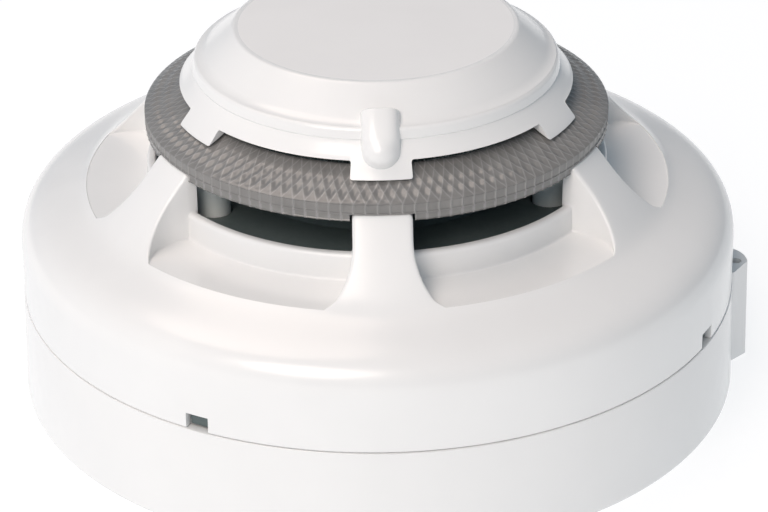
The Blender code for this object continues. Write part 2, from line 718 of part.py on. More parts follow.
def make_cover():
    cover = turned("cover", cover_profile())
    cut(cover, pocket_cutter())
    for azimuth in HEAD_SCREW_AZ:
        spot = at(azimuth, HEAD_SCREW_R)[:2]
        post = cylinder("post", 0.0030, BOARD_Z + BOARD_T + GAP, 0.0300, spot)
        hole = cylinder("hole", 0.0016, 0.0200, 0.0283, spot)
        join(cover, post)
        cut(cover, hole)
    for azimuth in NOTCH_AZ:
        notch = sector_box("notch", azimuth, 0.0480, 0.0540, NOTCH_W, 0.0140, SEAM_Z + 0.0024)
        cut(cover, notch)
    return finish_part(cover, "outer_cover", WHITE_GLOSS, parent=head_pivot)


# ---------------------------------------------------------------- indicator ring
def make_ring():
    inner_wall = RING_R - RING_WEB
    fall = (RING_IN_Z - RING_EDGE_Z) / (RING_R - RING_IN_R)
    web_z = RING_EDGE_Z + fall * RING_WEB - RING_WEB
    profile = [(RING_IN_R, RING_IN_Z), (RING_R, RING_EDGE_Z), (RING_R, RING_LOW_Z),
               (inner_wall, RING_LOW_Z), (inner_wall, web_z), (RING_IN_R, RING_IN_Z - RING_WEB)]
    ring = turned("ring", profile)
    for i in range(RIBS):
        seat = sector_box("seat", i * RIB_PITCH, 0.0295, 0.0345, 2 * (RIB_HALF_W + GAP), 0.0380,
                          RIB_TOP_Z + GAP)
        cut(ring, seat)
    return finish_part(ring, "light_ring", SMOKE_CLEAR, parent=head_pivot)


# ---------------------------------------------------------------- top cap
NUB_R = 0.0030
NUB_TOP = (0.0228, 0.0509)       # radius and height of the nub's upper end, on its axis
NUB_LOW = (0.0265, 0.0469)
NUB_ROOT = (0.0249, 0.0490)      # a point inside the cap's wall, where the nub ends


def cap_profile():
    """Flat top, bevel, groove, rounded bead and skirt, with an even wall under them."""
    bead = []
    mid_r = (CAP_GROOVE_R + CAP_CREASE_R) / 2
    mid_z = (CAP_GROOVE_Z + CAP_CREASE_Z) / 2
    reach = math.hypot(CAP_CREASE_R - CAP_GROOVE_R, CAP_CREASE_Z - CAP_GROOVE_Z) / 2
    start = math.atan2(CAP_GROOVE_Z - mid_z, CAP_GROOVE_R - mid_r)
    for i in range(6):
        a = start - math.pi * i / 5
        bead.append((mid_r + reach * math.cos(a), mid_z + reach * math.sin(a)))
    outer = [(0, TOTAL_H), (CAP_TOP_R, TOTAL_H)] + bead + [(CAP_TAB_R, CAP_TAB_Z)]
    under = [(CAP_TAB_R - 0.0014, CAP_TAB_Z + 0.0006), (0.0269, 0.04555), (0.0262, 0.0462),
             (CAP_CREASE_R - 0.0010, 0.0478),
             (CAP_GROOVE_R - 0.0012, CAP_GROOVE_Z - 0.0014), (CAP_TOP_R - 0.0006, 0.0525),
             (SCREEN_R - 0.0013, 0.0525), (SCREEN_R - 0.0013, 0.0468), (SCREEN_R - 0.0027, 0.0468),
             (SCREEN_R - 0.0027, 0.0525), (0, 0.0525)]
    return outer + under


def cap_nub():
    """Half-round nub lying down the front of the cap, with a ball end."""
    top = Vector((0, -NUB_TOP[0], NUB_TOP[1]))
    low = Vector((0, -NUB_LOW[0], NUB_LOW[1]))
    axis = top - low
    arc = [(NUB_R * math.cos(math.radians(15 * i)), -NUB_R * math.sin(math.radians(15 * i)))
           for i in range(6)]
    nub = turned("nub", [(0, axis.length), (NUB_R, axis.length)] + arc + [(0, -NUB_R)], 24)
    turn = axis.to_track_quat("Z", "Y").to_matrix().to_4x4()
    nub.data.transform(Matrix.Translation(low) @ turn)
    # Only the part in front of the cap's own wall is kept.
    inside = box("inside", (0.02, 0.02, 0.02), (0, 0, 0))
    lean = math.atan2(CAP_TAB_R - CAP_TOP_R, TOTAL_H - CAP_TAB_Z)
    inside.data.transform(Matrix.Rotation(-lean, 4, "X"))
    inward = Vector((0, math.cos(lean), -math.sin(lean))) * 0.0100
    inside.data.transform(Matrix.Translation(Vector((0, -NUB_ROOT[0], NUB_ROOT[1])) + inward))
    return cut(nub, inside)


def make_cap():
    cap = turned("cap", cap_profile())
    band = turned("band", [(0.0240, CAP_SKIRT_Z), (0.0340, CAP_SKIRT_Z), (0.0340, 0.0420),
                           (0.0240, 0.0420)])
    for i in range(RIBS):
        tab = sector_box("tab", i * RIB_PITCH, 0.0200, 0.0360, 2 * CAP_TAB_HALF_W, 0.0400, 0.0480)
        cut(band, tab)
    cut(cap, band)
    for azimuth in CAP_LEG_AZ:
        leg = cylinder("leg", 0.0015, 0.0286, 0.0500, at(azimuth, CAP_LEG_R)[:2])
        join(cap, leg)
    join(cap, cap_nub())
    return finish_part(cap, "top_cap", WHITE_GLOSS, parent=head_pivot)


# ---------------------------------------------------------------- assembly
make_base()
make_catch()
make_catch_spring()
for number, angle in enumerate(TERMINAL_AZ, 1):
    make_terminal(number, angle)
    make_head_contact(number, angle)
make_back_plate()
for number, angle in enumerate(HEAD_SCREW_AZ, 1):
    make_head_screw(number, angle)
make_board()
make_sensing_thermistor()
make_deck()
make_screen()
for number, angle in enumerate(PIPE_AZ, 1):
    make_light_pipe(number, angle)
make_cover()
make_ring()
make_cap()
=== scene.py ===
"""Looks of the ceiling heat detector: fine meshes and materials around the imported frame.

Azimuths run from -Y, where the nub is, towards +X.  All sizes are in metres.
"""

import json
import math

import bmesh
import bpy
import numpy as np
from mathutils import Matrix, Vector


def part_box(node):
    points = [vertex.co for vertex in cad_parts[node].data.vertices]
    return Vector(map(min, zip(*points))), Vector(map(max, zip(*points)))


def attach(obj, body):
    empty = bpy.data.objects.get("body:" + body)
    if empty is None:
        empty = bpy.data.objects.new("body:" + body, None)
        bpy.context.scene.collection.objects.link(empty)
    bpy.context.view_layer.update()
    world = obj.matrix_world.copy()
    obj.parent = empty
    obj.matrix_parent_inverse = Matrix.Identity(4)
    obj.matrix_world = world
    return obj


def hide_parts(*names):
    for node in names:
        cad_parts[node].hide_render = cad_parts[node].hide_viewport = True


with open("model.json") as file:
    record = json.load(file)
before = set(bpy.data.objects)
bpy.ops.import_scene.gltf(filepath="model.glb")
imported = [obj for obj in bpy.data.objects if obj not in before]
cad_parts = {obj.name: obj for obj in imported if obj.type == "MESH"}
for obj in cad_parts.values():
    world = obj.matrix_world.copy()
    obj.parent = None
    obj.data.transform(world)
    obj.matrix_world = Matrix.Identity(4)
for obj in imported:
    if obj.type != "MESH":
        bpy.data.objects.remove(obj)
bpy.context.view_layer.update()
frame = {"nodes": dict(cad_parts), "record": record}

# ---------------------------------------------------------------- sizes
GAP = 0.0003
RIBS = 6
RIB_PITCH = 360 / RIBS
TURN_STEPS = 288                 # columns of the large turned pieces

BASE_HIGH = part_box("mounting_base")[1]
COVER_LOW, COVER_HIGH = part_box("outer_cover")
RING_LOW, RING_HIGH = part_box("light_ring")
CAP_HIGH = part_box("top_cap")[1]
SCREEN_LOW, SCREEN_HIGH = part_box("insect_screen")

RING_R = RING_HIGH.x
RING_IN_R = 0.0262
RING_EDGE_Z = 0.0426
RING_WEB = 0.0016
FACETS = 126                     # prisms round the ring
FACET_START = 0.35               # where the first prism starts, in prisms
PRISM_SHIFT = 2.0                # prisms that a crest drifts sideways across the slope
PRISM_DEPTH = 0.00016
PRISM_FADE = ((0, 0.3, 0.6), (0.15, 0.5, 1))    # share of the way out, and of the depth there
RING_LEDGE = 0.0016              # height of the flat panels on the ring's outer face
PANEL_DEPTH = 0.00014

COVER_R = COVER_HIGH.x
COVER_SEAM_Z = COVER_LOW.z
SEAM_CLOSE = 0.00008             # the finer edges leave a narrower seam
SHOULDER_END_R = COVER_R - 0.0001
SHOULDER_END_Z = 0.0230
SHOULDER_SLOPE = math.radians(25.4)
SHOULDER_PULL_IN = 0.0060
SHOULDER_PULL_UP = 0.0058
POCKET_R = 0.0421
POCKET_Z = 0.0310
RIB_TOP_Z = COVER_HIGH.z
RIB_HALF_W = 0.00405
FLARE_START = 0.0350
FLARE_R = 0.0070
VENT_R_IN = 0.03175
VENT_R_OUT = 0.0332              # outer face of the wall below the vents
VENT_LIP_Z = 0.0348
VENT_FOOT_Z = 0.0309
EDGE_ROUND = 0.00065             # rounding of the rib edges
FOOT_ROUND = 0.00030             # and where their flanks meet the pockets
PLAN_OUT_R = 0.0460              # where the shoulder's turned part takes over
NOTCH_AZ = (-29.0, 61.0, 151.0, 241.0)
NOTCH_W = 0.0034
NOTCH_H = 0.0022
NOTCH_CHAMFER = 0.0010           # how far the notch's roof slopes down inwards

CAP_TOP_Z = CAP_HIGH.z
CAP_TOP_R = 0.0202
CAP_GROOVE = (0.0247, 0.0503)     # where the bevel ends
CAP_CREASE = (0.0261, 0.0484)
CAP_TAB = (0.02975, 0.0443)
CAP_NOTCH_SHARE = 0.50           # how far down the skirt the notches between the tabs end
CAP_TAB_HALF_W = 0.00415
NUB_R = 0.0027
NUB_TOP = (0, -0.0228, 0.0509)   # ends of the nub's axis
NUB_LOW = (0, -0.0265, 0.0469)
NUB_FADE = 0.0012                # length over which its section turns from squarish to round
CAP_UNDER = (                    # underside from the edge inwards, in a notch and on a tab
    ((0.02803, 0.04633), (0.02972, 0.04426)), ((0.02793, 0.04628), (0.02955, 0.04424)),
    ((0.02700, 0.04640), (0.02695, 0.04542)), ((0.02660, 0.04670), (0.02630, 0.04580)))


# ---------------------------------------------------------------- mesh helpers
def polar(azimuth, radius, z):
    """Points at azimuths in degrees, radii and heights."""
    a = np.radians(azimuth)
    parts = np.broadcast_arrays(radius * np.sin(a), -radius * np.cos(a), z)
    return np.stack(parts, axis=-1).astype(float)


def smooth_max(a, b, reach):
    h = np.clip(0.5 + 0.5 * (a - b) / reach, 0, 1)
    return b + (a - b) * h + reach * h * (1 - h)


def smooth_min(a, b, reach):
    return -smooth_max(-a, -b, reach)


def cubic(p0, p1, p2, p3, t):
    """Points on a cubic curve at parameters t."""
    t = np.asarray(t, float)[:, None]
    s = 1 - t
    p0, p1, p2, p3 = (np.array(p, float) for p in (p0, p1, p2, p3))
    return s ** 3 * p0 + 3 * s * s * t * p1 + 3 * s * t * t * p2 + t ** 3 * p3


def rounded(corners, steps=4):
    """Profile through (radius, height, rounding) corners, each turned into a small arc."""
    points = []
    for i, (r, z, cut) in enumerate(corners):
        here = Vector((r, z))
        if cut == 0 or i in (0, len(corners) - 1):
            points.append((r, z))
            continue
        before = Vector(corners[i - 1][:2])
        after = Vector(corners[i + 1][:2])
        start = here + (before - here).normalized() * cut
        end = here + (after - here).normalized() * cut
        for k in range(steps + 1):
            t = k / steps
            p = start * (1 - t) ** 2 + here * 2 * t * (1 - t) + end * t * t
            points.append((p.x, p.y))
    return points


def new_piece(name, work, sharp=None):
    """Object from a bmesh, smooth shaded, with edges sharper than an angle left hard."""
    bmesh.ops.recalc_face_normals(work, faces=work.faces)
    mesh = bpy.data.meshes.new(name)
    work.to_mesh(mesh)
    work.free()
    mesh.shade_smooth()
    if sharp is not None:
        mesh.set_sharp_from_angle(angle=math.radians(sharp))
    piece = bpy.data.objects.new(name, mesh)
    bpy.context.scene.collection.objects.link(piece)
    return piece


def skin_rings(work, rings, loop=False):
    """Faces between rings of points that run round Z.  A ring of one point closes the end."""
    made = [[work.verts.new(p) for p in ring] for ring in rings]
    pairs = list(zip(made, made[1:]))
    if loop:
        pairs.append((made[-1], made[0]))
    for a, b in pairs:
        count = max(len(a), len(b))
        for i in range(count):
            j = (i + 1) % count
            if len(a) == 1:
                work.faces.new((a[0], b[i], b[j]))
            elif len(b) == 1:
                work.faces.new((a[i], b[0], a[j]))
            else:
                work.faces.new((a[i], b[i], b[j], a[j]))
    return made


def turned_rings(profile, steps=TURN_STEPS):
    azimuths = np.arange(steps) * 360 / steps
    rings = []
    for r, z in profile:
        rings.append(polar(azimuths, r, z) if r > 0 else np.array([[0, 0, z]]))
    return rings


def turned(name, profile, steps=TURN_STEPS, loop=False, sharp=None):
    work = bmesh.new()
    skin_rings(work, turned_rings(profile, steps), loop)
    return new_piece(name, work, sharp)


def box_at(azimuth, r_in, r_out, width, z_low, z_high):
    """Box centred on an azimuth, as a cutter."""
    work = bmesh.new()
    bmesh.ops.create_cube(work, size=1.0)
    bmesh.ops.scale(work, vec=(width, r_out - r_in, z_high - z_low), verts=work.verts)
    bmesh.ops.translate(work, vec=(0, -(r_in + r_out) / 2, (z_low + z_high) / 2), verts=work.verts)
    bmesh.ops.rotate(work, matrix=Matrix.Rotation(math.radians(azimuth), 3, "Z"), verts=work.verts)
    return new_piece("cutter", work)


def upright(name, radius, z_low, z_high, xy, steps=32):
    work = bmesh.new()
    bmesh.ops.create_cone(work, cap_ends=True, segments=steps, radius1=radius, radius2=radius,
                          depth=z_high - z_low)
    bmesh.ops.translate(work, vec=(xy[0], xy[1], (z_low + z_high) / 2), verts=work.verts)
    return new_piece(name, work)


def slab(name, outline, z_low, z_high):
    """Flat outline raised between two heights."""
    work = bmesh.new()
    low = [work.verts.new((x, y, z_low)) for x, y in outline]
    high = [work.verts.new((x, y, z_high)) for x, y in outline]
    work.faces.new(low[::-1])
    work.faces.new(high)
    for i in range(len(outline)):
        j = (i + 1) % len(outline)
        work.faces.new((low[i], low[j], high[j], high[i]))
    return new_piece(name, work)


def combine(piece, tool, operation, sharp=30):
    """Boolean a tool into a piece and drop the tool."""
    step = piece.modifiers.new("step", "BOOLEAN")
    step.operation = operation
    step.solver = "EXACT"
    step.object = tool
    bpy.context.view_layer.update()
    graph = bpy.context.evaluated_depsgraph_get()
    mesh = bpy.data.meshes.new_from_object(piece.evaluated_get(graph))
    piece.modifiers.clear()
    piece.data = mesh
    bpy.data.objects.remove(tool, do_unlink=True)
    mesh.shade_smooth()
    mesh.set_sharp_from_angle(angle=math.radians(sharp))
    return piece


# ---------------------------------------------------------------- materials
def shader_of(name):
    mat = bpy.data.materials.new(name)
    mat.use_nodes = True
    return mat, mat.node_tree, mat.node_tree.nodes["Principled BSDF"]


def linked(tree, kind, settings=(), **inputs):
    """New node with its inputs set to values or linked to sockets."""
    node = tree.nodes.new(kind)
    for key, value in settings:
        setattr(node, key, value)
    for key, value in inputs.items():
        socket = node.inputs[int(key[1:])] if key[0] == "i" and key[1:].isdigit() else node.inputs[key]
        if isinstance(value, bpy.types.NodeSocket):
            tree.links.new(value, socket)
        else:
            socket.default_value = value
    return node


def noise(tree, grain, detail=3.0):
    """Noise whose grain is a length in metres on the piece."""
    place = linked(tree, "ShaderNodeTexCoord")
    return linked(tree, "ShaderNodeTexNoise", Vector=place.outputs["Object"], Scale=1 / grain,
                  Detail=detail)


def spread(tree, source, low, high):
    """Map a 0 to 1 value onto a range."""
    node = linked(tree, "ShaderNodeMapRange", Value=source)
    node.inputs["From Min"].default_value = 0.3
    node.inputs["From Max"].default_value = 0.7
    node.inputs["To Min"].default_value = low
    node.inputs["To Max"].default_value = high
    return node.outputs["Result"]


def tint(tree, source, dark, light):
    """Colour between two shades by a 0 to 1 value."""
    ramp = linked(tree, "ShaderNodeValToRGB", Fac=source)
    ramp.color_ramp.elements[0].position = 0.3
    ramp.color_ramp.elements[0].color = (*dark, 1)
    ramp.color_ramp.elements[1].position = 0.7
    ramp.color_ramp.elements[1].color = (*light, 1)
    return ramp.outputs["Color"]


def plastic(name, dark, light, rough, grain, bump, metallic=0.0, coat=0.0):
    """Moulded plastic or plated metal: uneven colour and gloss, and a grain unless bump is 0."""
    mat, tree, shader = shader_of(name)
    broad = noise(tree, 0.012)
    fine = noise(tree, grain, 4.0)
    tree.links.new(tint(tree, broad.outputs["Fac"], dark, light), shader.inputs["Base Color"])
    low, high = rough
    tree.links.new(spread(tree, fine.outputs["Fac"], low, high), shader.inputs["Roughness"])
    if bump:
        surface = linked(tree, "ShaderNodeBump", Height=fine.outputs["Fac"], Strength=0.35,
                         Distance=bump)
        tree.links.new(surface.outputs["Normal"], shader.inputs["Normal"])
    shader.inputs["Metallic"].default_value = metallic
    shader.inputs["Coat Weight"].default_value = coat
    shader.inputs["Coat Roughness"].default_value = 0.12
    shader.inputs["IOR"].default_value = 1.49
    return mat


def maths(tree, operation, a, b=0.0):
    node = linked(tree, "ShaderNodeMath", (("operation", operation),), i0=a, i1=b)
    return node.outputs[0]


def crest_mask(tree, phase, width):
    """1 along the lines where the phase is a whole number, falling to 0 beside them."""
    away = maths(tree, "ABSOLUTE", maths(tree, "SUBTRACT", maths(tree, "FRACT", phase), 0.5))
    node = linked(tree, "ShaderNodeMapRange", Value=away)
    node.inputs["From Min"].default_value = 0.5 - width
    node.inputs["From Max"].default_value = 0.5
    return node.outputs["Result"]


def prism_material():
    """Smoke-grey clear plastic, with a painted highlight: lighter colour along the prism crests."""
    mat, tree, shader = shader_of("smoke_clear")
    place = linked(tree, "ShaderNodeTexCoord")
    axes = linked(tree, "ShaderNodeSeparateXYZ", Vector=place.outputs["Object"])
    x, y, z = (axes.outputs[i] for i in range(3))
    turn = maths(tree, "DIVIDE", maths(tree, "ARCTAN2", x, maths(tree, "MULTIPLY", y, -1.0)),
                 2 * math.pi / FACETS)
    turn = maths(tree, "ADD", turn, FACET_START)
    radius = maths(tree, "SQRT", maths(tree, "ADD", maths(tree, "MULTIPLY", x, x),
                                       maths(tree, "MULTIPLY", y, y)))
    run = maths(tree, "MULTIPLY", maths(tree, "SUBTRACT", RING_R, radius),
                PRISM_SHIFT / (RING_R - RING_IN_R))
    # masks along both families of prism crests, where the painted highlight goes
    one = crest_mask(tree, maths(tree, "ADD", turn, run), 0.11)
    two = crest_mask(tree, maths(tree, "SUBTRACT", turn, run), 0.11)
    lines = maths(tree, "MAXIMUM", one, two)
    mottle = noise(tree, 0.0030)
    body = tint(tree, mottle.outputs["Fac"], (0.265, 0.258, 0.250), (0.32, 0.312, 0.302))
    # painted highlight: the crest lines get a lighter colour than the smoke-grey body
    painted_highlight_mix = linked(tree, "ShaderNodeMix", (("data_type", "RGBA"),), Factor=lines)
    tree.links.new(body, painted_highlight_mix.inputs["A"])
    painted_highlight_mix.inputs["B"].default_value = (0.40, 0.395, 0.385, 1)
    tree.links.new(painted_highlight_mix.outputs["Result"], shader.inputs["Base Color"])
    fine = noise(tree, 0.0008)
    tree.links.new(spread(tree, fine.outputs["Fac"], 0.13, 0.20), shader.inputs["Roughness"])
    shader.inputs["Transmission Weight"].default_value = 0.25
    shader.inputs["IOR"].default_value = 1.49
    return mat


MATERIALS = {
    "white_gloss": plastic("white_gloss", (0.855, 0.855, 0.85), (0.875, 0.875, 0.87),
                           (0.20, 0.27), 0.0060, 0, coat=0.25),
    "white_matte": plastic("white_matte", (0.875, 0.87, 0.865), (0.895, 0.89, 0.885),
                           (0.50, 0.60), 0.0005, 0.000008),
    "white_base": plastic("white_base", (0.850, 0.850, 0.845), (0.870, 0.870, 0.865),
                          (0.20, 0.27), 0.0060, 0, coat=0.25),
    "smoke_clear": prism_material(),
    "clear_guide": plastic("clear_guide", (0.82, 0.87, 0.85), (0.88, 0.92, 0.90),
                           (0.08, 0.14), 0.0020, 0.000006, coat=0.6),
    "dark_mesh": plastic("dark_mesh", (0.16, 0.21, 0.21), (0.20, 0.25, 0.25),
                         (0.42, 0.55), 0.0006, 0.00002, metallic=0.3),
    "black_plastic": plastic("black_plastic", (0.095, 0.125, 0.125), (0.120, 0.150, 0.150),
                             (0.42, 0.55), 0.0007, 0.00002),
    "green_board": plastic("green_board", (0.020, 0.12, 0.05), (0.03, 0.16, 0.07),
                           (0.30, 0.42), 0.0010, 0.00001),
    "chip_black": plastic("chip_black", (0.014, 0.014, 0.014), (0.022, 0.022, 0.022),
                          (0.40, 0.55), 0.0003, 0.00001),
    "aluminium_can": plastic("aluminium_can", (0.70, 0.70, 0.71), (0.78, 0.78, 0.79),
                             (0.22, 0.34), 0.0006, 0.000008, metallic=1.0),
    "led_red": plastic("led_red", (0.48, 0.035, 0.03), (0.58, 0.06, 0.05),
                       (0.12, 0.20), 0.0008, 0.000005, coat=0.4),
    "bead_glass": plastic("bead_glass", (0.045, 0.035, 0.035), (0.06, 0.045, 0.045),
                          (0.08, 0.16), 0.0006, 0.000005, coat=0.5),
    "tinned_brass": plastic("tinned_brass", (0.70, 0.60, 0.36), (0.80, 0.71, 0.46),
                            (0.22, 0.36), 0.0005, 0.00001, metallic=1.0),
    "zinc_steel": plastic("zinc_steel", (0.58, 0.59, 0.61), (0.68, 0.68, 0.69),
                          (0.28, 0.42), 0.0005, 0.00001, metallic=1.0),
    "spring_steel": plastic("spring_steel", (0.50, 0.51, 0.53), (0.60, 0.61, 0.62),
                            (0.24, 0.36), 0.0004, 0.00001, metallic=1.0),
}
SLOT_OF = {row["node"]: row["material_slot"] for row in frame["record"]["subparts"]}


def dress(piece, *names):
    piece.data.materials.clear()
    for name in names:
        piece.data.materials.append(MATERIALS[name])


def hand_in(piece, body, node):
    """A finished piece takes the place of a CAD node on its body."""
    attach(piece, body)
    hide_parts(node)


# ---------------------------------------------------------------- outer cover
SHOULDER_PULL = (POCKET_R + SHOULDER_PULL_IN * math.cos(SHOULDER_SLOPE),
                 POCKET_Z - SHOULDER_PULL_IN * math.sin(SHOULDER_SLOPE))
SHOULDER = cubic((POCKET_R, POCKET_Z), SHOULDER_PULL,
                 (SHOULDER_END_R, SHOULDER_END_Z + SHOULDER_PULL_UP),
                 (SHOULDER_END_R, SHOULDER_END_Z), np.linspace(0, 1, 121))


def rib_height(r):
    """Height of the ribs' top face, and of the shoulder that they run into."""
    slope = (RIB_TOP_Z - POCKET_Z) / (POCKET_R - RING_R)
    cone = smooth_min(RIB_TOP_Z - (r - RING_R) * slope, RIB_TOP_Z, 0.0003)
    shoulder = np.where(r < POCKET_R, POCKET_Z + (POCKET_R - r) * math.tan(SHOULDER_SLOPE),
                        np.interp(r, SHOULDER[:, 0], SHOULDER[:, 1]))
    return smooth_max(cone, shoulder, 0.0008)


def wall_profile():
    """(radius, height) points over the round-topped wall below a vent and out to its foot."""
    corners = [(VENT_R_IN, VENT_LIP_Z - 0.0004, 0), (VENT_R_IN + 0.0003, VENT_LIP_Z, 0.00020),
               (VENT_R_OUT + 0.00002, VENT_LIP_Z, 0.00070),
               (VENT_R_OUT + 0.00008, VENT_FOOT_Z, 0.00045), (0.0350, VENT_FOOT_Z + 0.00006, 0)]
    return np.array(rounded(corners, 6))


WALL_POINTS = wall_profile()
STRAIGHT_ROWS = len(WALL_POINTS)


def floor_height(r):
    """Height of a pocket's section: wall top, wall face, foot and floor."""
    inside = np.interp(r, WALL_POINTS[:, 0], WALL_POINTS[:, 1])
    outside = VENT_FOOT_Z + 0.00006 + (r - 0.0350) * 0.0125
    return np.where(r < 0.0350, inside, outside)


def pocket_edge():
    """Border of half a pocket in plan, with the way out of the pocket at each point.

    It runs out along the rib's flank and its flare, then round the pocket's outer circle.
    Points are (sideways, along the rib)."""
    points = [(RIB_HALF_W, math.sqrt(r * r - RIB_HALF_W ** 2)) for r in WALL_POINTS[:, 0]]
    ways = [(-1.0, 0.0)] * len(points)
    centre_x = RIB_HALF_W + FLARE_R
    turn = np.linspace(0, math.radians(90), 2000)
    reach = np.hypot(centre_x - FLARE_R * np.cos(turn), FLARE_START + FLARE_R * np.sin(turn))
    last = turn[np.searchsorted(reach, POCKET_R)]
    for a in np.linspace(0, last, 24):
        points.append((centre_x - FLARE_R * math.cos(a), FLARE_START + FLARE_R * math.sin(a)))
        ways.append((-math.cos(a), math.sin(a)))
    corner = len(points) - 1
    corner_az = math.atan2(*points[-1])
    radial = np.array((math.sin(corner_az), math.cos(corner_az)))
    ways[-1] = tuple((radial + ways[-1]) / np.linalg.norm(radial + ways[-1]))
    for a in np.linspace(corner_az, math.radians(RIB_PITCH / 2), 25)[1:]:
        points.append((POCKET_R * math.sin(a), POCKET_R * math.cos(a)))
        ways.append((math.sin(a), math.cos(a)))
    return np.array(points), np.array(ways), corner


def plan_border(edge, corner):
    """Outer border of the half sector: the rib's centre line, then the circle round the ribs."""
    border = []
    first_az = math.radians(7.0)
    foot = STRAIGHT_ROWS + round(0.6 * (corner - STRAIGHT_ROWS))
    flare_r = math.hypot(RIB_HALF_W, FLARE_START)
    for i in range(len(edge)):
        if i < STRAIGHT_ROWS:
            border.append((0.0, WALL_POINTS[i][0]))
            continue
        if i <= foot:
            share = (i - STRAIGHT_ROWS) / (foot - STRAIGHT_ROWS)
            border.append((0.0, flare_r + (PLAN_OUT_R - flare_r) * share))
            continue
        if i <= corner:
            a = (i - foot) / (corner - foot) * first_az
        else:
            share = (i - corner) / (len(edge) - 1 - corner)
            a = first_az + share * (math.radians(RIB_PITCH / 2) - first_az)
        border.append((PLAN_OUT_R * math.sin(a), PLAN_OUT_R * math.cos(a)))
    return np.array(border)


def on_arcs(plan):
    """Put the rows beside the rib's straight flank on circles round the axis."""
    rows = slice(0, STRAIGHT_ROWS)
    plan[rows, 1] = np.sqrt(WALL_POINTS[:, 0] ** 2 - plan[rows, 0] ** 2)
    return plan, np.hypot(plan[:, 0], plan[:, 1])


def pocket_rows():
    """Rows of points from the rib's top, over its edge and down its flank to the pocket."""
    edge, way, corner = pocket_edge()
    border = plan_border(edge, corner)
    radius = np.hypot(edge[:, 0], edge[:, 1])
    drop = np.maximum(rib_height(radius) - floor_height(radius), 0.00001)
    top_cut = np.clip(drop / 2, 0.00014, EDGE_ROUND)
    low_cut = np.clip(drop / 2, 0.00014, FOOT_ROUND)

    def row(offset, fall):
        plan, r = on_arcs(edge + way * offset[:, None])
        z = rib_height(r) * (1 - fall) + floor_height(r) * fall
        return np.column_stack((plan[:, 0], -plan[:, 1], z))

    rows = []
    outer = edge + way * top_cut[:, None]
    for t in np.linspace(1, 0, 7)[:-1]:
        plan, r = on_arcs(outer * (1 - t) + border * t)
        rows.append(np.column_stack((plan[:, 0], -plan[:, 1], rib_height(r))))
    share = np.minimum(top_cut / drop, 0.5)
    for a in np.radians((0, 18, 36, 54, 72, 90)):
        rows.append(row(top_cut * (1 - math.sin(a)), share * (1 - math.cos(a))))
    share = np.minimum(low_cut / drop, 0.5)
    for a in np.radians((0, 22, 45, 67, 90)):
        rows.append(row(-low_cut * (1 - math.cos(a)), 1 - share * (1 - math.sin(a))))
    return rows, corner


def half_pocket(work):
    """Top face of the cover from a rib's centre line to the middle of the next pocket."""
    rows, corner = pocket_rows()
    inner = rows[-1]
    count = len(inner)
    columns = count - 1 - corner
    made = [[work.verts.new(p) for p in line] for line in rows]
    for a, b in zip(made, made[1:]):
        for i in range(count - 1):
            work.faces.new((a[i], a[i + 1], b[i + 1], b[i]))

    middle = RIB_PITCH / 2
    grid = []
    for j in range(corner):
        start = inner[j]
        azimuth = math.degrees(math.atan2(start[0], -start[1]))
        r = math.hypot(start[0], start[1])
        line = [made[-1][j]]
        for i in range(1, columns + 1):
            spot = polar(azimuth + (middle - azimuth) * i / columns, r, start[2])
            line.append(work.verts.new(spot))
        grid.append(line)
    grid.append(made[-1][corner:])
    for a, b in zip(grid, grid[1:]):
        for i in range(columns):
            work.faces.new((a[i], b[i], b[i + 1], a[i + 1]))


def border_edges(work, radius, tolerance=0.00003):
    """Open edges of a mesh that lie on a circle round Z."""
    found = []
    for edge in work.edges:
        if edge.is_boundary:
            if all(abs(math.hypot(v.co.x, v.co.y) - radius) < tolerance for v in edge.verts):
                found.append(edge)
    return found


def carry_on(work, edges, profile):
    """Extrude a round border along a profile of (radius, height) points."""
    for r, z in profile:
        made = bmesh.ops.extrude_edge_only(work, edges=edges)["geom"]
        for v in [g for g in made if isinstance(g, bmesh.types.BMVert)]:
            here = math.hypot(v.co.x, v.co.y)
            v.co = Vector((v.co.x * r / here, v.co.y * r / here, z))
        edges = [g for g in made if isinstance(g, bmesh.types.BMEdge) and g.is_boundary]
    return edges


